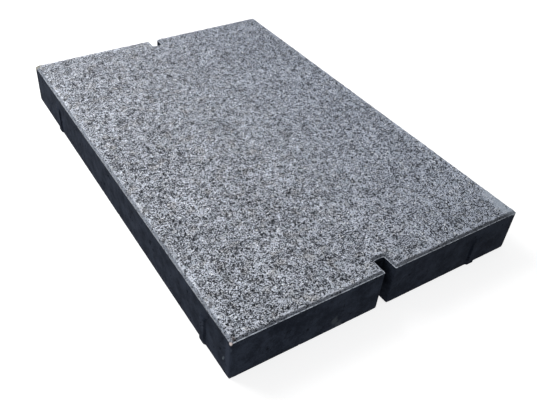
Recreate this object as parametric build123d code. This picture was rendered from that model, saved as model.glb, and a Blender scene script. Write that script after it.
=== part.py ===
"""Pressed concrete paving slab, 600 x 400 x 60 mm, with a granite-chipping facing.

Frame: millimetres, +Z up. The origin is at the middle of the underside, +Y runs along
the 600 mm length and +X across the 400 mm width.

The slab has three kinds of piece:
  backing_layer      the backing concrete, with its moulded spacer nibs and end slots
  facing_layer       the facing mix pressed on to it, with its ledge and bevelled rim
  granite_chippings  the larger pale chippings, each seated in a socket of the facing
"""
from build123d import *
import math
import os
import random

# ---- the slab ------------------------------------------------------------------
LENGTH = 600.0                  # along Y
WIDTH = 400.0                   # along X
HEIGHT = 60.0                   # along Z
CORNER_RADIUS = 2.0             # upright corners of the mould
BASE_BEVEL = 0.8                # worn arris round the underside

# ---- the facing layer ----------------------------------------------------------
FACING_THICKNESS = 8.0
BEVEL_DROP = 3.0                # height of the bevel round the top
BEVEL_RUN = 2.8                 # width of the bevel in plan
LEDGE_WIDTH = 1.3               # flat ledge left by the mould, outside the bevel

# ---- the slots, one in the middle of each short end -----------------------------
SLOT_WIDTH = 14.5
SLOT_DEPTH = 20.0
SLOT_MOUTH_RADIUS = 1.5
SLOT_END_RADIUS = 2.0

# ---- the spacer nibs, which keep the joint open between laid slabs -------------
NIB_WIDTH = 13.0                # at the root, along the slab's side
NIB_TIP_WIDTH = 9.0
NIB_DEPTH = 1.8                 # how far a nib stands out from the side
NIB_HEIGHT = 42.0               # from the underside up
NIB_TOP_SLOPE = 6.0             # height of a nib's sloping top
NIB_ROOT = 2.0                  # how far the nib's body runs back into the slab
LONG_SIDE_NIBS = (-245.0, 198.0)    # places along Y on the -X side
SHORT_SIDE_NIB = 140.0              # place along X on the -Y end

# ---- the pale chippings that show in the face ----------------------------------
CHIPPING_COUNT = 160
CHIPPING_RADIUS = (0.9, 2.0)    # smallest and largest, in plan
CHIPPING_DEPTH = 1.2            # depth over radius, below the face
CHIPPING_TAPER = 16.0           # degrees that the sides draw in, going down
CHIPPING_CORNERS = (5, 7)       # fewest and most corners of a chipping
CORNER_JITTER = 0.22            # unevenness of a chipping's corners
CHIPPING_SPACING = 14.0         # least distance between two chippings
RIM_CLEARANCE = 9.0             # least distance from a chipping to any edge of the face
SEED = 17

FACING_BASE = HEIGHT - FACING_THICKNESS
LEDGE_HEIGHT = HEIGHT - BEVEL_DROP
HALF_LENGTH = LENGTH / 2
HALF_WIDTH = WIDTH / 2


def slab_outline(inset=0.0):
    """Plan of the slab with its two end slots, every edge moved in by inset."""
    slot_width = SLOT_WIDTH + 2 * inset
    slot_depth = SLOT_DEPTH + inset
    with BuildSketch() as plan:
        Rectangle(WIDTH - 2 * inset, LENGTH - 2 * inset)
        for end in (-1, 1):
            with Locations((0, end * HALF_LENGTH)):
                Rectangle(slot_width, 2 * slot_depth, mode=Mode.SUBTRACT)
        corners = plan.vertices()
        outer = corners.filter_by(lambda v: abs(v.X) > WIDTH / 4)
        slot = corners.filter_by(lambda v: abs(v.X) < WIDTH / 4)
        mouths = slot.filter_by(lambda v: abs(v.Y) > HALF_LENGTH - SLOT_DEPTH / 2)
        ends = slot.filter_by(lambda v: abs(v.Y) < HALF_LENGTH - SLOT_DEPTH / 2)
        fillet(outer, max(CORNER_RADIUS - inset, SLOT_MOUTH_RADIUS / 2))
        fillet(mouths, max(SLOT_MOUTH_RADIUS - inset, SLOT_MOUTH_RADIUS / 2))
        fillet(ends, SLOT_END_RADIUS + inset)
    return plan.sketch


def nib():
    """One spacer nib on a side that faces -Y, at X = 0, running up from the underside."""
    half_root = NIB_WIDTH / 2
    half_tip = NIB_TIP_WIDTH / 2
    section = Polygon(
        (-half_root, 0),
        (-half_tip, -NIB_DEPTH),
        (half_tip, -NIB_DEPTH),
        (half_root, 0),
        (half_root, NIB_ROOT),
        (-half_root, NIB_ROOT),
        align=None,
    )
    body = extrude(section, amount=NIB_HEIGHT)
    tips = body.edges().filter_by(Axis.Z).group_by(Axis.Y)[0]
    body = fillet(tips, NIB_DEPTH / 2)
    side_view = Polygon(
        (0, NIB_HEIGHT),
        (-2 * NIB_DEPTH, NIB_HEIGHT),
        (-2 * NIB_DEPTH, NIB_HEIGHT - 2 * NIB_TOP_SLOPE),
        align=None,
    )
    top_cut = extrude(Plane.YZ * side_view, amount=NIB_WIDTH, both=True)
    return body - top_cut


def nib_places():
    """Where the nibs stand: the slab is the same turned half way round its upright axis."""
    on_short_end = Pos(SHORT_SIDE_NIB, -HALF_LENGTH, 0)
    on_long_side = [Pos(-HALF_WIDTH, y, 0) * Rot(0, 0, -90) for y in LONG_SIDE_NIBS]
    first_half = [on_short_end] + on_long_side
    return first_half + [Rot(0, 0, 180) * place for place in first_half]


def backing_layer():
    """Backing concrete up to the facing, with the nibs moulded on its sides."""
    block = extrude(slab_outline(), amount=FACING_BASE)
    block = chamfer(block.edges().group_by(Axis.Z)[0], BASE_BEVEL)
    for place in nib_places():
        block += place * nib()
    return block


def bare_facing():
    """Facing mix: an upright band, the ledge that the mould leaves, and the bevelled top."""
    band = extrude(slab_outline(), amount=FACING_THICKNESS - BEVEL_DROP)
    slope = math.degrees(math.atan2(BEVEL_RUN, BEVEL_DROP))
    bevelled_top = extrude(slab_outline(LEDGE_WIDTH), amount=BEVEL_DROP, taper=slope)
    return Pos(0, 0, FACING_BASE) * band + Pos(0, 0, LEDGE_HEIGHT) * bevelled_top


def clear_of_edges(x, y):
    """Whether a chipping at x, y stands clear of the rim and of both slots."""
    in_slot_zone = (
        abs(x) < SLOT_WIDTH / 2 + RIM_CLEARANCE
        and abs(y) > HALF_LENGTH - SLOT_DEPTH - RIM_CLEARANCE
    )
    return not in_slot_zone


def chipping_places(rng):
    """Scattered places for the chippings, none closer together than their spacing."""
    places = []
    while len(places) < CHIPPING_COUNT:
        x = rng.uniform(RIM_CLEARANCE - HALF_WIDTH, HALF_WIDTH - RIM_CLEARANCE)
        y = rng.uniform(RIM_CLEARANCE - HALF_LENGTH, HALF_LENGTH - RIM_CLEARANCE)
        crowded = any(math.hypot(x - u, y - v) < CHIPPING_SPACING for u, v in places)
        if clear_of_edges(x, y) and not crowded:
            places.append((x, y))
    return places


def chipping(rng, x, y):
    """One crushed-stone chipping, flat at the face and drawn in below it."""
    radius = rng.uniform(*CHIPPING_RADIUS)
    count = rng.randint(*CHIPPING_CORNERS)
    start = rng.uniform(0, math.tau)
    corners = []
    for step in range(count):
        angle = start + math.tau * step / count
        reach = radius * (1 + rng.uniform(-CORNER_JITTER, CORNER_JITTER))
        corners.append((reach * math.cos(angle), reach * math.sin(angle)))
    outline = Polygon(*corners, align=None)
    stone = extrude(outline, amount=-CHIPPING_DEPTH * radius, taper=CHIPPING_TAPER)
    return Pos(x, y, HEIGHT) * stone


def granite_chippings():
    """All the pale chippings, as separate solids."""
    rng = random.Random(SEED)
    return [chipping(rng, x, y) for x, y in chipping_places(rng)]


chippings = granite_chippings()
nodes = {
    "backing_layer": backing_layer(),
    "facing_layer": bare_facing() - chippings,
    "granite_chippings": Compound(children=chippings),
}

os.makedirs("parts", exist_ok=True)
for name, shape in nodes.items():
    export_step(shape, f"parts/{name}.step")
    print(name, len(shape.solids()), "solids,", round(shape.volume), "mm3")
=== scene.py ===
"""Looks of the granite-faced paving slab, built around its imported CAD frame.

Everything is in metres in the frame of the part: origin at the middle of the underside,
+Y along the 600 mm length, +X across the 400 mm width, +Z up. The three CAD nodes are
replaced by detailed meshes of the same pieces: the backing concrete, the pitted granite
facing and the pale chippings that show in it.
"""
import math

import bpy
import numpy as np
from mathutils import Matrix, Vector
from mathutils.geometry import delaunay_2d_cdt


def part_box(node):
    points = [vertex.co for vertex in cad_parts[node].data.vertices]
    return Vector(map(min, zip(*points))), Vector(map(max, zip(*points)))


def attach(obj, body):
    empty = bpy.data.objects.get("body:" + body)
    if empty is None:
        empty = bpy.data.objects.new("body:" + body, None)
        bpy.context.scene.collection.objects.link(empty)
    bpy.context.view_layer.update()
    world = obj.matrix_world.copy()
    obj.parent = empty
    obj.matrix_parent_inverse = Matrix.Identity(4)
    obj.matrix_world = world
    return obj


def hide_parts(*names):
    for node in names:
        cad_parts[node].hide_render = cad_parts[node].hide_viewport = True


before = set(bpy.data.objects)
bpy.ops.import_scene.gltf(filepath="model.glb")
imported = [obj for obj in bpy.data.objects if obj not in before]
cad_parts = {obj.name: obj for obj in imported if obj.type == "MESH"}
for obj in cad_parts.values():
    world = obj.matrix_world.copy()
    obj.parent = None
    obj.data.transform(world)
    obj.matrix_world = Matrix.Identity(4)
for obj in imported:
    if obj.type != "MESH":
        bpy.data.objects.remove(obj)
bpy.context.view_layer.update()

MM = 0.001
TINY = 1e-7                         # a tenth of a micrometre, to compare places by

# ---- the slab's own measures, in metres -----------------------------------------
FACING_LOW, FACING_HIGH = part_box("facing_layer")
HALF_WIDTH = FACING_HIGH.x
HALF_LENGTH = FACING_HIGH.y
TOP = FACING_HIGH.z
LAYER_LINE = FACING_LOW.z           # where the facing meets the backing
BEVEL_DROP = 3.0 * MM
BEVEL_RUN = 2.8 * MM
LEDGE_WIDTH = 1.3 * MM
LEDGE_HEIGHT = TOP - BEVEL_DROP
RIM_WIDTH = LEDGE_WIDTH + BEVEL_RUN
CORNER_RADIUS = 2.0 * MM
SLOT_HALF_WIDTH = 7.25 * MM
SLOT_DEPTH = 20.0 * MM
SLOT_MOUTH_RADIUS = 1.5 * MM
SLOT_END_RADIUS = 2.0 * MM
BASE_BEVEL = 0.8 * MM
WORN_CORNER = 3.0 * MM              # how much higher the wear reaches at the corners
NIB_HALF_WIDTH = 6.5 * MM
NIB_TIP_HALF_WIDTH = 4.5 * MM
NIB_DEPTH = 1.8 * MM
NIB_HEIGHT = 42.0 * MM
NIB_TOP_SLOPE = 6.0 * MM
LONG_SIDE_NIBS = (-245.0 * MM, 198.0 * MM)      # places along Y on the -X side
SHORT_SIDE_NIB = 140.0 * MM                     # place along X on the -Y end

GRID = 1.3 * MM                     # spacing of the facing's mesh
WALL_STEP = 1.5 * MM                # spacing down the sides


# ================================= noise in numpy =================================

def hashed(cell, seed):
    """A repeatable random number from 0 to 1 for each row of whole numbers."""
    x, y, z = (cell[:, i].astype(np.uint64) for i in range(3))
    h = x * np.uint64(0x9E3779B1) ^ y * np.uint64(0x85EBCA77) ^ z * np.uint64(0xC2B2AE3D)
    h ^= np.uint64(seed) * np.uint64(0x27D4EB2F)
    h ^= h >> np.uint64(15)
    h *= np.uint64(0x2C1B3C6D)
    h ^= h >> np.uint64(12)
    h *= np.uint64(0x297A2D39)
    h ^= h >> np.uint64(15)
    return (h & np.uint64(0xFFFFFF)).astype(float) / 0xFFFFFF


def smoothstep(low, high, value):
    """0 below low, 1 above high, and an S-shaped rise between."""
    t = np.clip((value - low) / (high - low), 0.0, 1.0)
    return t * t * (3.0 - 2.0 * t)


def value_noise(points, size, seed):
    """Smooth noise from -1 to 1 whose bumps are about size across."""
    scaled = points / size + 1000.0
    whole = np.floor(scaled)
    part = scaled - whole
    ease = part * part * (3.0 - 2.0 * part)
    total = np.zeros(len(points))
    for corner in np.ndindex(2, 2, 2):
        weight = np.ones(len(points))
        for axis in range(3):
            weight *= ease[:, axis] if corner[axis] else 1.0 - ease[:, axis]
        total += weight * hashed(whole + np.array(corner), seed)
    return total * 2.0 - 1.0


def fractal(points, size, seed, octaves=3):
    """Several sizes of value_noise added, each half as large and half as strong."""
    total = np.zeros(len(points))
    reach = 0.0
    for octave in range(octaves):
        strength = 0.5 ** octave
        total += strength * value_noise(points, size * strength, seed + octave)
        reach += strength
    return total / reach


def scattered(points, size, seed):
    """Distance to the nearest of a scatter of centres, one per cell of size, in the XY
    plane, and that centre's own random number."""
    flat = points[:, :2] / size + 1000.0
    home = np.floor(flat)
    nearest = np.full(len(points), 9.0)
    own = np.zeros(len(points))
    for step in np.ndindex(3, 3):
        cell = home + np.array(step) - 1
        key = np.column_stack([cell, np.zeros(len(cell))])
        centre = cell + np.column_stack([hashed(key, seed), hashed(key, seed + 1)])
        gap = np.hypot(*(flat - centre).T)
        closer = gap < nearest
        nearest = np.where(closer, gap, nearest)
        own = np.where(closer, hashed(key, seed + 2), own)
    return nearest * size, own


# ============================ plan of the slab as a grid ===========================

RIM_LINES = [d * MM for d in (0.0, 0.45, 0.9, 1.3, 1.9, 2.5, 3.1, 3.7, 4.4, 5.2, 6.2)]


def even_lines(start, stop, step):
    """Evenly spaced places between start and stop, both left out."""
    count = max(int(round((stop - start) / step)), 1)
    return list(np.linspace(start, stop, count + 1)[1:-1])


def grid_lines(step):
    """Places of the grid's lines along X and along Y, closer together at the rim."""
    rim = RIM_LINES[-1]
    half_x = even_lines(-SLOT_HALF_WIDTH, 0.0, step)
    x = [-HALF_WIDTH + d for d in RIM_LINES]
    x += even_lines(-HALF_WIDTH + rim, -SLOT_HALF_WIDTH - rim, step)
    x += [-SLOT_HALF_WIDTH - d for d in reversed(RIM_LINES)]
    x += half_x
    x += [0.0] + [-v for v in reversed(x)]
    slot_end = HALF_LENGTH - SLOT_DEPTH
    y = [-HALF_LENGTH + d for d in RIM_LINES]
    y += even_lines(-HALF_LENGTH + rim, -slot_end, step)
    y += [-slot_end + d for d in RIM_LINES]
    y += even_lines(-slot_end + rim, 0.0, step)
    y += [0.0] + [-v for v in reversed(y)]
    return np.array(x), np.array(y)


def round_square(a, b, keep, fade):
    """Turns the square rings round a corner's centre into circles, out to a ring of size
    keep, and back to squares by ring keep + fade. a and b are the distances from it."""
    ring = np.maximum(a, b)
    far = np.maximum(np.hypot(a, b), TINY)
    pull = 1.0 - smoothstep(keep, keep + fade, ring) if fade else (ring < keep + TINY) * 1.0
    factor = 1.0 + pull * (ring / far - 1.0)
    inside = (a > 0) & (b > 0)
    return np.where(inside, a * factor, a), np.where(inside, b * factor, b)


def round_corners(x, y):
    """Moves grid points so that the slab's corners and its slots' corners are round."""
    side, end = np.sign(x), np.sign(y)
    u, v = np.abs(x), np.abs(y)
    corner_x, corner_y = HALF_WIDTH - CORNER_RADIUS, HALF_LENGTH - CORNER_RADIUS
    a, b = round_square(u - corner_x, v - corner_y, CORNER_RADIUS, 0.0)
    u, v = a + corner_x, b + corner_y
    mouth_x = SLOT_HALF_WIDTH + SLOT_MOUTH_RADIUS
    mouth_y = HALF_LENGTH - SLOT_MOUTH_RADIUS
    outside = u >= SLOT_HALF_WIDTH
    a, b = round_square(np.where(outside, mouth_x - u, 0.0), v - mouth_y, SLOT_MOUTH_RADIUS, 0.0)
    u, v = np.where(outside, mouth_x - a, u), np.where(outside, b + mouth_y, v)
    centre_x = SLOT_HALF_WIDTH - SLOT_END_RADIUS
    centre_y = HALF_LENGTH - SLOT_DEPTH + SLOT_END_RADIUS
    a, b = round_square(u - centre_x, centre_y - v, SLOT_END_RADIUS + RIM_WIDTH, 9.0 * MM)
    return side * (a + centre_x), end * (centre_y - b)


def edge_distance(x, y):
    """How far in from the slab's plan outline each grid point is."""
    u, v = np.abs(x), np.abs(y)
    outer = np.minimum(HALF_WIDTH - u, HALF_LENGTH - v)
    beside = u - SLOT_HALF_WIDTH
    beyond = HALF_LENGTH - SLOT_DEPTH - v
    slot = np.maximum(beside, beyond)
    return np.minimum(outer, slot)


class PlanGrid:
    """The slab's plan as a grid of points with the two slots left out."""

    def __init__(self, step):
        xs, ys = grid_lines(step)
        self.columns, self.rows = len(xs), len(ys)
        gx, gy = np.meshgrid(xs, ys)
        in_slot = (np.abs(gx) < SLOT_HALF_WIDTH - TINY) & (np.abs(gy) > HALF_LENGTH - SLOT_DEPTH + TINY)
        self.used = ~in_slot
        self.index = np.full(gx.shape, -1)
        self.index[self.used] = np.arange(self.used.sum())
        flat_x, flat_y = gx[self.used], gy[self.used]
        self.inset = edge_distance(flat_x, flat_y)
        self.x, self.y = round_corners(flat_x, flat_y)
        self.slot_column = int(np.argmin(np.abs(xs + SLOT_HALF_WIDTH)))
        self.slot_row = int(np.argmin(np.abs(ys + HALF_LENGTH - SLOT_DEPTH)))

    def quads(self):
        """Faces of the grid, seen from above, leaving out the cells inside the slots."""
        a = self.index[:-1, :-1]
        b = self.index[:-1, 1:]
        c = self.index[1:, 1:]
        d = self.index[1:, :-1]
        row = np.arange(self.rows - 1)[:, None]
        column = np.arange(self.columns - 1)[None, :]
        in_width = (column >= self.slot_column) & (column < self.columns - 1 - self.slot_column)
        in_depth = (row < self.slot_row) | (row >= self.rows - 1 - self.slot_row)
        keep = ~(in_width & in_depth)
        return np.stack([a[keep], b[keep], c[keep], d[keep]], axis=1)

    def outline(self):
        """Indices of the outline's points, anticlockwise seen from above."""
        left, right = self.slot_column, self.columns - 1 - self.slot_column
        low, high = self.slot_row, self.rows - 1 - self.slot_row
        last_row, last_column = self.rows - 1, self.columns - 1
        path = [(0, c) for c in range(0, left)]
        path += [(r, left) for r in range(0, low)]
        path += [(low, c) for c in range(left, right)]
        path += [(r, right) for r in range(low, 0, -1)]
        path += [(0, c) for c in range(right, last_column)]
        path += [(r, last_column) for r in range(0, last_row)]
        path += [(last_row, c) for c in range(last_column, right, -1)]
        path += [(r, right) for r in range(last_row, high, -1)]
        path += [(high, c) for c in range(right, left, -1)]
        path += [(r, left) for r in range(high, last_row)]
        path += [(last_row, c) for c in range(left, 0, -1)]
        path += [(r, 0) for r in range(last_row, 0, -1)]
        return np.array([self.index[r, c] for r, c in path])


def outward(x, y):
    """Unit vectors pointing out of a closed outline, one for each point."""
    along_x = np.roll(x, -1) - np.roll(x, 1)
    along_y = np.roll(y, -1) - np.roll(y, 1)
    length = np.hypot(along_x, along_y)
    return along_y / length, -along_x / length


def wall_quads(upper, lower):
    """Faces between two rings of the same number of points, seen from outside."""
    return np.stack([np.roll(upper, -1), upper, lower, np.roll(lower, -1)], axis=1)


def fill(ring, points, upward):
    """Triangles that close the outline through these points, facing up or down."""
    outline = [Vector(points[i][:2]) for i in ring]
    edges = [(i, (i + 1) % len(ring)) for i in range(len(ring))]
    _, _, triangles, origins, _, _ = delaunay_2d_cdt(outline, edges, [], 1, TINY)
    order = (0, 1, 2) if upward else (2, 1, 0)
    return [[ring[origins[t[i]][0]] for i in order] for t in triangles]


def make_mesh(name, points, quads, caps, attributes, paint=None):
    """An object from points, four-sided faces, other faces and point attributes, with the
    colour and cover of its marks as paint."""
    mesh = bpy.data.meshes.new(name)
    faces = quads.tolist() + [[int(i) for i in cap] for cap in caps]
    mesh.from_pydata(points.tolist(), [], faces)
    for key, values in attributes.items():
        layer = mesh.attributes.new(key, "FLOAT", "POINT")
        layer.data.foreach_set("value", values.astype(np.float32))
    if paint is not None:
        layer = mesh.attributes.new("mark", "FLOAT_COLOR", "POINT")
        layer.data.foreach_set("color", paint.astype(np.float32).ravel())
    mesh.update()
    made = bpy.data.objects.new(name, mesh)
    bpy.context.scene.collection.objects.link(made)
    return made


# ==================================== relief =====================================

SMOOTH_CORNER = (HALF_WIDTH, -HALF_LENGTH + 16.0 * MM)
SMOOTH_REACH = (20.0 * MM, 34.0 * MM)


def arris_gap(x, y):
    """Distance in plan to the nearest outer vertical arris, of the slab or of a slot."""
    beyond = np.abs(y) - HALF_LENGTH
    return np.minimum(np.hypot(np.abs(x) - HALF_WIDTH, beyond), np.hypot(np.abs(x) - SLOT_HALF_WIDTH, beyond))


def side_relief(points):
    """How far a point of the cast sides lies in from the true side, and its air holes."""
    clear = smoothstep(1.5 * MM, 6.0 * MM, arris_gap(points[:, 0], points[:, 1]))
    broad = 0.10 * MM * (1.0 + fractal(points, 70.0 * MM, 11, 2))
    grain = 0.10 * MM * (1.0 + fractal(points, 3.5 * MM, 23, 2)) * (0.3 + 0.7 * clear)
    hole = fractal(points, 4.2 * MM, 31, 2)
    holes = clear * smoothstep(0.50, 0.72, hole)
    return broad + grain + 0.8 * MM * holes, clear * smoothstep(0.46, 0.66, hole)


def nib_rise(points, normal_x, normal_y):
    """How far the spacer nibs stand out at each point of the sides."""
    rise = np.zeros(len(points))
    for sign in (-1, 1):
        places = [(0, sign, sign * -SHORT_SIDE_NIB)]
        places += [(sign, 0, -sign * along) for along in LONG_SIDE_NIBS]
        for face_x, face_y, along in places:
            facing = normal_x * face_x + normal_y * face_y > 0.7
            offset = np.abs((points[:, 1] if face_x else points[:, 0]) - along)
            wide = 1.0 - smoothstep(NIB_TIP_HALF_WIDTH, NIB_HALF_WIDTH, offset)
            tall = 1.0 - smoothstep(NIB_HEIGHT - NIB_TOP_SLOPE, NIB_HEIGHT, points[:, 2])
            rise += facing * NIB_DEPTH * wide * tall
    return rise


def smooth_share(x, y):
    """1 in the fat, closed skin beside the near right corner, 0 elsewhere."""
    along = (x - SMOOTH_CORNER[0]) / SMOOTH_REACH[0]
    across = (y - SMOOTH_CORNER[1]) / SMOOTH_REACH[1]
    points = np.column_stack([x, y, np.zeros(len(x))])
    return 1.0 - smoothstep(0.75, 1.1, np.hypot(along, across) + 0.2 * fractal(points, 9.0 * MM, 83, 2))


def open_share(x, y, inset):
    """How open the face's texture is: most at the left, least at the right, and
    nearly closed by cement skin along the rim and in the smooth corner."""
    across = smoothstep(-HALF_WIDTH, HALF_WIDTH * 1.1, x)
    rim = smoothstep(2.0 * MM, 12.0 * MM, inset)
    return (1.0 - 0.18 * across) * (1.0 - smooth_share(x, y)) * (0.65 + 0.35 * rim)


def face_relief(x, y, inset):
    """Depth of the face's pores and pits below its high points, and how porous it is."""
    points = np.column_stack([x, y, np.zeros(len(x))])
    density = open_share(x, y, inset)
    undulation = 0.07 * MM * (1.0 + fractal(points, 55.0 * MM, 3, 2))
    clusters = fractal(points, 14.0 * MM, 47, 3)
    worms = fractal(points, 2.6 * MM, 41, 2) + 0.3 * clusters
    pores = smoothstep(0.50 - 0.22 * density, 0.78 - 0.2 * density, worms)
    gap, own = scattered(points, 13.0 * MM, 61)
    radius = (1.2 + 2.2 * own) * MM
    ragged = gap + 1.1 * MM * fractal(points, 2.6 * MM, 43, 2)
    pits = (own > 0.55) * (1.0 - smoothstep(0.35 * radius, 0.8 * radius, ragged)) * density
    edge_band = smoothstep(RIM_WIDTH * 0.7, RIM_WIDTH, inset) * (1.0 - smoothstep(5.0 * MM, 7.5 * MM, inset))
    nicks = edge_band * smoothstep(0.42, 0.66, fractal(points, 4.0 * MM, 89, 2))
    grain = 0.5 + 0.5 * fractal(points, 2.6 * MM, 71, 1)
    depth = undulation + 0.14 * MM * grain + 0.50 * MM * pores + 1.0 * MM * np.maximum(pits, nicks)
    fade = smoothstep(LEDGE_WIDTH, RIM_WIDTH, inset)
    porous = np.clip(pores * 0.3 + pits + nicks, 0.0, 1.0) * (0.2 + 0.8 * fade)
    return depth * (0.3 + 0.7 * fade), porous, density


def rim_height(points, inset):
    """Height of the face over its plan: the ledge, the ragged bevel and the flat top.
    Also how much of the dark slope and of the ledge's pale skin is at each point."""
    ledge = LEDGE_WIDTH * (1.0 + 0.22 * fractal(points, 14.0 * MM, 97, 2))
    run = BEVEL_RUN * (0.78 + 0.28 * fractal(points, 6.0 * MM, 101, 3))
    climb = np.clip((inset - ledge) / run, 0.0, 1.0)
    pale = (inset < 0.8 * ledge) * 1.0
    bevel = (1.0 - pale) * (1.0 - smoothstep(0.80, 1.0, climb))
    return LEDGE_HEIGHT + BEVEL_DROP * climb, bevel, pale


def nearest_mark(points, marks):
    """Colour and cover of the mark that covers each point most, out of marks, each given
    as its centre, its reach along X, Y and Z, its colour and its greatest cover."""
    paint = np.zeros((len(points), 4))
    ragged = 0.35 * fractal(points, 3.0 * MM, 113, 2)
    for centre, reach, colour, cover in marks:
        far = np.linalg.norm((points - np.array(centre) * MM) / (np.array(reach) * MM), axis=1)
        share = cover * (1.0 - smoothstep(0.45, 1.05, far + ragged))
        paint = np.where((share > paint[:, 3])[:, None], np.column_stack([np.tile(colour, (len(points), 1)), share]), paint)
    return paint


# Marks, in millimetres: centre, reach, colour, cover.
FACE_MARKS = (
    ((-199.2, -299.2, 57.0), (2.3, 2.3, 3.2), (0.80, 0.70, 0.68), 1.0),     # worn near left tip
    ((-195.0, -296.5, 59.0), (3.0, 2.6, 3.0), (0.13, 0.10, 0.09), 0.7),
    ((0.0, -290.0, 50.0), (9.0, 22.0, 8.5), (0.004, 0.005, 0.008), 0.9),    # painted shade inside the slots
    ((0.0, 290.0, 50.0), (9.0, 22.0, 8.5), (0.004, 0.005, 0.008), 0.9),
    ((-197.0, 297.0, 58.0), (8.0, 8.0, 6.0), (0.30, 0.29, 0.24), 0.8),      # far left tip
    ((-120.0, 300.0, 57.0), (95.0, 4.0, 3.0), (0.34, 0.30, 0.23), 0.7),
    ((200.0, -205.0, 57.5), (5.0, 45.0, 4.0), (0.26, 0.22, 0.21), 0.7),     # right ledge
    ((200.0, -284.0, 60.0), (21.0, 36.0, 9.0), (0.34, 0.385, 0.44), 0.75),  # smooth cement skin, under a pale blue-grey painted sheen
)
BACKING_MARKS = (
    # painted bluish sheen down the left side beside the near left corner
    ((-200.0, -296.0, 30.0), (3.0, 6.5, 60.0), (0.030, 0.037, 0.055), 0.8),
    ((-200.0, -287.0, 20.0), (3.0, 1.7, 2.6), (0.11, 0.13, 0.15), 0.9),
    ((-200.0, -288.4, 23.0), (3.0, 1.5, 2.4), (0.11, 0.13, 0.15), 0.9),
    ((-200.0, -300.0, 47.0), (2.2, 2.2, 6.0), (0.045, 0.055, 0.075), 0.8),
    ((-200.0, -250.2, 23.0), (4.0, 1.9, 21.0), (0.006, 0.008, 0.014), 0.5),     # painted shade: dark lines on the nibs' flanks
    ((-200.0, 192.6, 23.0), (4.0, 2.4, 21.0), (0.006, 0.008, 0.014), 0.8),
    ((134.0, -300.0, 23.0), (2.2, 4.0, 14.0), (0.004, 0.006, 0.011), 0.8),
    # painted shade inside the slots
    ((0.0, -285.0, 30.0), (9.5, 19.0, 60.0), (0.004, 0.005, 0.008), 0.9),
    ((0.0, 285.0, 30.0), (9.5, 19.0, 60.0), (0.004, 0.005, 0.008), 0.9),
    ((-68.5, -300.0, 14.0), (5.5, 3.0, 7.5), (0.045, 0.052, 0.062), 0.9),
    ((-62.5, -300.0, 5.0), (5.5, 3.0, 6.5), (0.045, 0.052, 0.062), 0.9),
)


def chipping_places():
    """Centre and radius of each separate chipping of the CAD node."""
    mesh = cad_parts["granite_chippings"].data
    parent = list(range(len(mesh.vertices)))

    def root(i):
        while parent[i] != i:
            parent[i] = parent[parent[i]]
            i = parent[i]
        return i

    places = {}
    for i, v in enumerate(mesh.vertices):
        key = tuple(round(c, 6) for c in v.co)
        if key in places:
            parent[root(i)] = root(places[key])
        places[key] = i
    for edge in mesh.edges:
        parent[root(edge.vertices[0])] = root(edge.vertices[1])
    groups = {}
    for i, v in enumerate(mesh.vertices):
        groups.setdefault(root(i), []).append(v.co)
    found = []
    for corners in groups.values():
        co = np.array([tuple(c) for c in corners])
        centre = (co.min(0) + co.max(0)) / 2
        radius = (co.max(0) - co.min(0))[:2].mean() / 2
        found.append((centre[0], centre[1], radius))
    return sorted(found)


# ==================================== pieces =====================================

def build_facing(grid, chippings):
    """The facing layer: pitted granite face, bevel and ledge, and its upright band."""
    flat = np.column_stack([grid.x, grid.y, np.full(len(grid.x), TOP)])
    depth, porous, openness = face_relief(grid.x, grid.y, grid.inset)
    for x, y, radius in chippings:
        gap = np.hypot(grid.x - x, grid.y - y)
        near = gap < radius * 3
        ring = 1.0 - smoothstep(radius * 0.9, radius * 1.7, gap[near])
        depth[near] = np.maximum(depth[near], 0.45 * MM * ring)
        # A near-black ring round each chipping: painted shade in the hollow round the stone.
        porous[near] = np.maximum(porous[near], 0.9 * ring)
    high, bevel, ledge = rim_height(flat, grid.inset)
    ring = grid.outline()
    nx, ny = outward(grid.x[ring], grid.y[ring])
    face = np.column_stack([grid.x, grid.y, high - depth])
    inward, _ = side_relief(face[ring])
    inward *= 0.6
    face[ring, 0] -= nx * inward
    face[ring, 1] -= ny * inward
    levels, quads = [face], [grid.quads()]
    features = [np.column_stack([porous, openness, bevel, ledge, np.zeros(len(face))])]
    upper, start = ring, len(face)
    for height in np.concatenate([[LEDGE_HEIGHT - 0.2 * MM], np.linspace(LEDGE_HEIGHT, LAYER_LINE, 5)[1:]]):
        level = np.column_stack([grid.x[ring], grid.y[ring], np.full(len(ring), height)])
        inward, holes = side_relief(level)
        level[:, 0] -= nx * inward
        level[:, 1] -= ny * inward
        lower = start + np.arange(len(ring))
        levels.append(level)
        features.append(np.column_stack([holes, np.zeros((len(ring), 3)), np.ones(len(ring))]))
        quads.append(wall_quads(upper, lower))
        upper, start = lower, start + len(ring)
    points = np.vstack(levels)
    names = ("porous", "open", "bevel", "ledge", "side")
    return make_mesh("granite_face", points, np.vstack(quads), fill(upper, points, False),
                     dict(zip(names, np.vstack(features).T)),
                     nearest_mark(points, FACE_MARKS))


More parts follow.
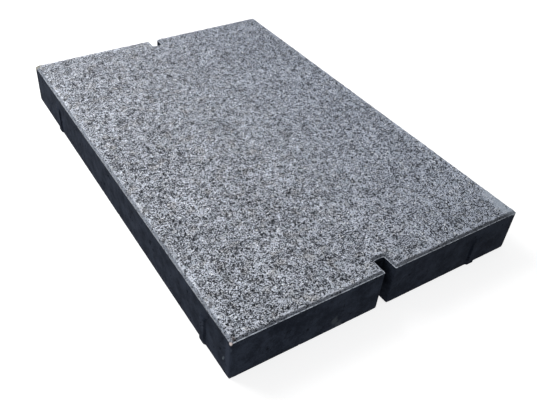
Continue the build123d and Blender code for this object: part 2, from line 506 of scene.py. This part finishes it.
def build_backing(grid):
    """The backing layer: cast sides with their nibs, down to the worn lower arris."""
    ring = grid.outline()
    x, y = grid.x[ring], grid.y[ring]
    nx, ny = outward(x, y)
    count = max(int(round((LAYER_LINE - BASE_BEVEL) / WALL_STEP)), 1)
    heights = list(np.linspace(LAYER_LINE, BASE_BEVEL, count + 1)) + [BASE_BEVEL * 0.35, 0.0]
    wear = BASE_BEVEL + WORN_CORNER * (1.0 - smoothstep(1.0 * MM, 7.0 * MM, arris_gap(x, y)))
    levels, quads, porosity = [], [], []
    upper, start = None, 0
    for height in heights:
        level = np.column_stack([x, y, np.full(len(ring), height)])
        inward, holes = side_relief(level)
        rounding = 1.0 - np.sqrt(1.0 - np.clip(1.0 - height / wear, 0.0, 1.0) ** 2)
        move = inward + BASE_BEVEL * rounding - nib_rise(level, nx, ny)
        level[:, 0] -= nx * move
        level[:, 1] -= ny * move
        lower = start + np.arange(len(ring))
        levels.append(level)
        porosity.append(holes)
        if upper is not None:
            quads.append(wall_quads(upper, lower))
        upper, start = lower, start + len(ring)
    points = np.vstack(levels)
    caps = fill(np.arange(len(ring)), points, True) + fill(upper, points, False)
    return make_mesh("backing_concrete", points, np.vstack(quads), caps,
                     {"porous": np.concatenate(porosity)}, nearest_mark(points, BACKING_MARKS))


CHIPPING_SIDES = 9
CHIPPING_RINGS = ((1.0, 0.9), (0.97, 0.25), (0.72, 0.05), (0.30, 0.0))     # share of radius, drop


def build_chippings(chippings):
    """The pale chippings: small crushed stones with broken facets, level with the face."""
    rng = np.random.default_rng(5)
    angles = np.arange(CHIPPING_SIDES) * math.tau / CHIPPING_SIDES
    levels, quads, caps, tones = [], [], [], []
    for x, y, radius in chippings:
        turn = rng.uniform(0, math.tau)
        tilt_x, tilt_y = rng.uniform(-0.10, 0.10, 2)
        reach = radius * (1.0 + rng.uniform(-0.18, 0.18, CHIPPING_SIDES))
        tone = rng.uniform(0.0, 1.0)
        base = sum(len(level) for level in levels)
        for n, (share, drop) in enumerate(CHIPPING_RINGS):
            px = reach * share * np.cos(turn + angles)
            py = reach * share * np.sin(turn + angles)
            rough = np.abs(rng.normal(0, 0.03, CHIPPING_SIDES)) * radius
            pz = TOP - 0.12 * MM - 0.8 * drop * radius + tilt_x * px + tilt_y * py - rough
            levels.append(np.column_stack([x + px, y + py, np.minimum(pz, TOP)]))
            if n:
                upper = base + n * CHIPPING_SIDES + np.arange(CHIPPING_SIDES)
                lower = upper - CHIPPING_SIDES
                quads.append(np.stack([lower, np.roll(lower, -1), np.roll(upper, -1), upper], axis=1))
        caps.append(upper)
        caps.append(base + np.arange(CHIPPING_SIDES)[::-1])
        tones.append(np.full(len(CHIPPING_RINGS) * CHIPPING_SIDES, tone))
    return make_mesh("pale_chippings", np.vstack(levels), np.vstack(quads), caps,
                     {"tone": np.concatenate(tones)})


# =================================== materials ===================================

class Graph:
    """Short calls that build one material's node tree. Sizes are in millimetres."""

    def __init__(self, name):
        self.material = bpy.data.materials.new(name)
        self.material.use_nodes = True
        self.tree = self.material.node_tree
        self.shader = self.tree.nodes["Principled BSDF"]
        coordinates = self.tree.nodes.new("ShaderNodeTexCoord")
        scaled = self.tree.nodes.new("ShaderNodeVectorMath")
        scaled.operation = "SCALE"
        scaled.inputs["Scale"].default_value = 1.0 / MM
        self.tree.links.new(coordinates.outputs["Object"], scaled.inputs[0])
        self.place = scaled.outputs[0]
        split = self.tree.nodes.new("ShaderNodeSeparateXYZ")
        self.tree.links.new(self.place, split.inputs[0])
        self.x, self.y, self.z = split.outputs

    def put(self, socket, value):
        if isinstance(value, bpy.types.NodeSocket):
            self.tree.links.new(value, socket)
        else:
            socket.default_value = value

    def math(self, operation, *values):
        node = self.tree.nodes.new("ShaderNodeMath")
        node.operation = operation
        for socket, value in zip(node.inputs, values):
            self.put(socket, value)
        return node.outputs[0]

    def step(self, value, low, high, to_low=0.0, to_high=1.0):
        """An S-shaped change from to_low to to_high as value goes from low to high."""
        node = self.tree.nodes.new("ShaderNodeMapRange")
        node.interpolation_type = "SMOOTHSTEP"
        for socket, setting in zip(node.inputs[:5], (value, low, high, to_low, to_high)):
            self.put(socket, setting)
        return node.outputs[0]

    def mix(self, factor, a, b, blend="MIX"):
        node = self.tree.nodes.new("ShaderNodeMix")
        node.data_type = "RGBA"
        node.blend_type = blend
        self.put(node.inputs["Factor"], factor)
        self.put(node.inputs[6], (*a, 1.0) if isinstance(a, tuple) else a)
        self.put(node.inputs[7], (*b, 1.0) if isinstance(b, tuple) else b)
        return node.outputs[2]

    def noise(self, size, detail=2.0, roughness=0.5, distortion=0.0, shift=0.0):
        node = self.tree.nodes.new("ShaderNodeTexNoise")
        moved = self.tree.nodes.new("ShaderNodeVectorMath")
        moved.operation = "ADD"
        self.put(moved.inputs[0], self.place)
        moved.inputs[1].default_value = (shift, shift * 0.7, shift * 0.3)
        self.put(node.inputs["Vector"], moved.outputs[0])
        node.inputs["Scale"].default_value = 1.0 / size
        node.inputs["Detail"].default_value = detail
        node.inputs["Roughness"].default_value = roughness
        node.inputs["Distortion"].default_value = distortion
        return node.outputs["Fac"]

    def warped(self, size, reach):
        """The surface's places, pushed about by noise of this size by up to reach."""
        noise = self.tree.nodes.new("ShaderNodeTexNoise")
        self.put(noise.inputs["Vector"], self.place)
        noise.inputs["Scale"].default_value = 1.0 / size
        push = self.tree.nodes.new("ShaderNodeVectorMath")
        push.operation = "MULTIPLY_ADD"
        self.put(push.inputs[0], noise.outputs["Color"])
        push.inputs[1].default_value = (2.0 * reach,) * 3
        self.put(push.inputs[2], self.place)
        return push.outputs[0]

    def cells(self, size, feature="F1", output="Color", place=None):
        node = self.tree.nodes.new("ShaderNodeTexVoronoi")
        node.feature = feature
        self.put(node.inputs["Vector"], place or self.place)
        node.inputs["Scale"].default_value = 1.0 / size
        return node.outputs[output]

    def crevices(self, size, reach, opened, shut, wide, width):
        """Dark gaps between grains of this size. They are closed where opened is below
        shut and reach their full width, a share of the grain size, where it is wide."""
        gap = self.cells(size, "DISTANCE_TO_EDGE", "Distance", place=self.warped(size, reach))
        half = self.step(opened, shut, wide, TINY, width)
        return self.step(self.math("DIVIDE", gap, half), 0.45, 1.0, 1.0, 0.0)

    def attribute(self, name):
        node = self.tree.nodes.new("ShaderNodeAttribute")
        node.attribute_name = name
        return node.outputs["Fac"]

    def marked(self, colour):
        """The colour with the piece's marks laid over it."""
        node = self.tree.nodes.new("ShaderNodeAttribute")
        node.attribute_name = "mark"
        return self.mix(node.outputs["Alpha"], colour, node.outputs["Color"])

    def shade(self, colour, factor):
        """The colour made lighter or darker by this factor."""
        node = self.tree.nodes.new("ShaderNodeVectorMath")
        node.operation = "SCALE"
        self.put(node.inputs[0], colour)
        self.put(node.inputs["Scale"], factor)
        return node.outputs[0]

    def red(self, colour):
        node = self.tree.nodes.new("ShaderNodeSeparateColor")
        self.put(node.inputs[0], colour)
        return node.outputs[0]

    def bump(self, height, distance, strength=1.0, after=None):
        node = self.tree.nodes.new("ShaderNodeBump")
        node.inputs["Strength"].default_value = strength
        node.inputs["Distance"].default_value = distance * MM
        self.put(node.inputs["Height"], height)
        if after is not None:
            self.put(node.inputs["Normal"], after)
        return node.outputs[0]

    def finish(self, colour, roughness, normal, specular):
        self.put(self.shader.inputs["Base Color"], colour)
        self.put(self.shader.inputs["Roughness"], roughness)
        self.put(self.shader.inputs["Normal"], normal)
        self.put(self.shader.inputs["Specular IOR Level"], specular)
        return self.material


def cast_skin(g):
    """Colour and height of the dark cast sides: fine-grained and faintly mottled."""
    mottle = g.noise(18.0, 4.0, 0.6)
    fine = g.noise(1.8, 3.0, 0.65)
    tone = g.math("MULTIPLY_ADD", mottle, 0.55, g.math("MULTIPLY", fine, 0.45))
    colour = g.mix(g.step(tone, 0.36, 0.64), (0.0095, 0.0125, 0.020), (0.027, 0.0335, 0.049))
    # Darker towards +X: painted shade, as from the lamp at the left.
    return g.shade(colour, g.step(g.x, -200.0, 200.0, 1.0, 0.72)), fine


def granite_facing():
    """Washed granite-chipping concrete: pale grey-blue grains with dark pores between."""
    g = Graph("granite_facing")
    porous = g.attribute("porous")
    openness = g.attribute("open")
    side = g.attribute("side")
    fine = g.noise(0.8, 2.0, 0.6)
    clusters = g.noise(8.0, 1.0, 0.5, 0.0, 53.0)
    broad = g.noise(60.0, 3.0, 0.55, 0.0, 70.0)
    opened = g.math("MULTIPLY_ADD", openness, 0.25, g.math("MULTIPLY", clusters, 0.22))

    # The crevices and pores are recesses, and their near-black below is painted shade in them.
    coarse = g.crevices(2.0, 0.6, g.math("ADD", opened, g.noise(1.8, 0.0, 0.5, 0.0, 31.0)), 0.84, 0.93, 0.24)
    small = g.crevices(1.0, 0.35, g.math("ADD", opened, g.noise(1.3, 0.0, 0.5, 0.0, 57.0)), 0.875, 0.98, 0.20)
    dark = g.math("MAXIMUM", g.math("MAXIMUM", coarse, small), g.math("MULTIPLY", porous, 0.9))

    grain = g.red(g.cells(1.2, place=g.warped(1.4, 0.3)))
    speck = g.red(g.cells(1.3))
    tone = g.math("MULTIPLY_ADD", grain, 0.45, g.math("MULTIPLY", fine, 0.6))
    pale = g.mix(g.step(tone, 0.24, 0.74), (0.388, 0.415, 0.480), (0.675, 0.714, 0.797))
    # Painted bluish sheen, as of reflected sky, growing towards the right.
    pale = g.mix(g.step(g.x, -150.0, 200.0, 0.0, 0.40), pale, (0.375, 0.435, 0.565))
    # Near-white specks: pale grains brightened into painted glints.
    pale = g.mix(g.step(speck, 0.90, 0.94, 0.0, 0.8), pale, (0.95, 0.98, 1.0))
    # Painted light and shade: lighter at the left, darker towards the right and at the near and far ends, as
    # from the lamp behind at the left.
    pale = g.shade(pale, g.step(g.x, -230.0, 230.0, 1.10, 0.84))
    pale = g.shade(pale, g.step(g.y, 100.0, 300.0, 1.06, 0.97))
    pale = g.shade(pale, g.step(g.y, -310.0, -190.0, 0.92, 1.0))
    pale = g.shade(pale, g.step(clusters, 0.32, 0.68, 1.05, 0.93))
    pale = g.shade(pale, g.step(broad, 0.35, 0.65, 1.06, 0.94))
    warm = g.noise(16.0, 2.0, 0.6, 0.0, 11.0)
    cool = g.noise(11.0, 2.0, 0.6, 0.0, 91.0)
    yellowed = g.math("MULTIPLY", g.step(warm, 0.50, 0.70, 0.0, 0.40), g.step(g.x, -80.0, 120.0, 1.0, 0.2))
    pale = g.mix(yellowed, pale, (0.43, 0.395, 0.35))
    pale = g.mix(g.step(cool, 0.50, 0.70, 0.0, 0.40), pale, (0.33, 0.395, 0.455))
    bevel = g.math("MULTIPLY", g.attribute("bevel"), g.step(fine, 0.3, 0.7, 0.95, 0.6))
    # The bevel's slope: darker than the face and darker still towards the right, lighter at the left edge;
    # painted shade and light, as from the lamp behind at the left.
    slope = g.shade((0.12, 0.138, 0.17), g.step(g.x, -200.0, 200.0, 1.15, 0.36))
    slope = g.shade(slope, g.step(g.x, -200.0, -188.0, 1.25, 1.0))
    # Near-black painted shade in the crevices and pores.
    colour = g.mix(dark, g.mix(bevel, pale, slope), (0.012, 0.015, 0.021))
    broken = g.math("MULTIPLY_ADD", g.noise(4.5, 2.0, 0.6, 0.0, 17.0), 0.6, g.math("MULTIPLY", fine, 0.4))
    skin = g.mix(g.step(broken, 0.38, 0.54), (0.15, 0.172, 0.21), (0.80, 0.86, 0.96))
    skin = g.shade(skin, g.step(g.x, -200.0, -196.0, 0.37, 1.0))
    # Darker towards the right: painted shade, as from the lamp at the left.
    skin = g.shade(skin, g.step(g.x, -200.0, 200.0, 1.0, 0.50))
    colour = g.mix(g.attribute("ledge"), colour, skin)
    cast, cast_height = cast_skin(g)
    colour = g.marked(g.mix(side, colour, cast))
    face_height = g.math("MULTIPLY_ADD", dark, -1.1, tone)
    height = g.mix(side, face_height, g.math("MULTIPLY", cast_height, 0.33))
    roughness = g.step(fine, 0.3, 0.7, 0.55, 0.8)
    specular = g.step(side, 0.0, 1.0, 0.25, 0.01)
    return g.finish(colour, roughness, g.bump(height, 0.6), specular)


def backing_concrete():
    """Dark cast concrete side: fine-grained, faintly mottled, with small air holes."""
    g = Graph("backing_concrete")
    colour, fine = cast_skin(g)
    # Near-black air holes: painted shade inside them.
    colour = g.mix(g.math("MULTIPLY", g.attribute("porous"), 0.75), colour, (0.004, 0.005, 0.007))
    colour = g.marked(colour)
    return g.finish(colour, g.step(fine, 0.3, 0.7, 0.6, 0.85), g.bump(fine, 0.2), 0.01)


def pale_granite():
    """Pale feldspar and quartz of the exposed chippings, few of them nearly white."""
    g = Graph("pale_granite")
    fine = g.noise(0.8, 2.0, 0.6)
    tone = g.step(g.attribute("tone"), 0.45, 1.0)
    stone = g.mix(tone, (0.27, 0.285, 0.31), (0.78, 0.79, 0.80))
    colour = g.mix(g.step(fine, 0.3, 0.7, 0.0, 0.35), stone, (0.22, 0.23, 0.25))
    return g.finish(colour, g.step(fine, 0.3, 0.7, 0.35, 0.6), g.bump(fine, 0.1), 0.5)


# =============================== floor, light, camera ===============================

FLOOR_REACH = 30.0
FLOOR_HEIGHT = -0.1 * MM
FLOOR_COLOUR = (0.40, 0.40, 0.40, 1.0)
FLOOR_GLOW = 0.80                   # keeps the slab's shadow faint on the white floor


def build_floor():
    """A plain pale floor, part of the stage."""
    corners = FLOOR_REACH * np.array([(-1, -1, 0), (1, -1, 0), (1, 1, 0), (-1, 1, 0)], float)
    corners[:, 2] = FLOOR_HEIGHT
    floor = make_mesh("floor", corners, np.array([[0, 1, 2, 3]]), [], {})
    g = Graph("pale_floor")
    g.shader.inputs["Emission Color"].default_value = (1.0, 1.0, 1.0, 1.0)
    g.shader.inputs["Emission Strength"].default_value = FLOOR_GLOW
    floor.data.materials.append(g.finish(FLOOR_COLOUR, 0.9, g.bump(g.noise(40.0), 0.05), 0.0))


def add_area_light(name, place, size, power):
    """A soft square lamp at place, pointing at the slab."""
    lamp = bpy.data.lights.new(name, "AREA")
    lamp.shape = "SQUARE"
    lamp.size = size
    lamp.energy = power
    holder = bpy.data.objects.new(name, lamp)
    holder.location = place
    holder.rotation_mode = "QUATERNION"
    holder.rotation_quaternion = (Vector((0, 0, 0.05)) - Vector(place)).to_track_quat("-Z", "Y")
    holder.visible_camera = False
    bpy.context.scene.collection.objects.link(holder)


HORIZON_LIGHT = 0.09
ZENITH_LIGHT = 0.53
BACKDROP_LIGHT = 0.98               # what the camera itself sees beyond the floor
KEY_PLACE = (-0.62, 1.0, 1.2)
KEY_SIZE = 1.1
KEY_POWER = 31.0


def light_the_stage():
    """Even pale surroundings and one large lamp behind the slab, a little to its left."""
    world = bpy.data.worlds.new("studio")
    world.use_nodes = True
    tree = world.node_tree
    background = tree.nodes["Background"]
    direction = tree.nodes.new("ShaderNodeTexCoord")
    split = tree.nodes.new("ShaderNodeSeparateXYZ")
    dome = tree.nodes.new("ShaderNodeMapRange")
    path = tree.nodes.new("ShaderNodeLightPath")
    seen = tree.nodes.new("ShaderNodeMix")
    tree.links.new(direction.outputs["Generated"], split.inputs[0])
    tree.links.new(split.outputs["Z"], dome.inputs["Value"])
    dome.inputs["To Min"].default_value = HORIZON_LIGHT
    dome.inputs["To Max"].default_value = ZENITH_LIGHT
    tree.links.new(path.outputs["Is Camera Ray"], seen.inputs["Factor"])
    tree.links.new(dome.outputs["Result"], seen.inputs["A"])
    seen.inputs["B"].default_value = BACKDROP_LIGHT
    tree.links.new(seen.outputs["Result"], background.inputs["Strength"])
    background.inputs["Color"].default_value = (0.97, 0.98, 1.0, 1.0)
    bpy.context.scene.world = world
    add_area_light("key", KEY_PLACE, KEY_SIZE, KEY_POWER)
    bpy.context.scene.view_settings.view_transform = "Standard"


CAMERA_PLACE = (-0.4037, -0.6119, 0.5531)
CAMERA_AZIMUTH = 32.693             # degrees from +Y towards +X
CAMERA_DIP = 39.886                 # degrees below level
CAMERA_ROLL = 3.058                 # degrees, right side up
CAMERA_LENS = 42.816                # millimetres, on a 36 mm wide sensor
CAMERA_SHIFT = (0.06145, -0.00929)


def add_camera():
    """The camera, standing at the slab's near left corner and looking down on it."""
    azimuth, dip = math.radians(CAMERA_AZIMUTH), math.radians(CAMERA_DIP)
    forward = Vector((math.sin(azimuth) * math.cos(dip), math.cos(azimuth) * math.cos(dip), -math.sin(dip)))
    turn = forward.to_track_quat("-Z", "Y").to_matrix().to_4x4()
    data = bpy.data.cameras.new("camera")
    data.sensor_width = 36.0
    data.lens = CAMERA_LENS
    data.shift_x, data.shift_y = CAMERA_SHIFT
    camera = bpy.data.objects.new("camera", data)
    roll = Matrix.Rotation(math.radians(CAMERA_ROLL), 4, "Z")
    camera.matrix_world = Matrix.Translation(CAMERA_PLACE) @ turn @ roll
    bpy.context.scene.collection.objects.link(camera)
    bpy.context.scene.camera = camera


# ==================================== making =====================================

add_camera()
light_the_stage()
build_floor()

plan = PlanGrid(GRID)
stones = chipping_places()
pieces = (
    (build_facing(plan, stones), granite_facing(), "facing_layer", "granite_facing"),
    (build_backing(plan), backing_concrete(), "backing_layer", "backing_concrete"),
    (build_chippings(stones), pale_granite(), "granite_chippings", "pale_granite"),
)
for piece, material, node, slot in pieces:
    piece.data.materials.append(material)
    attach(piece, "root")
    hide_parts(node)
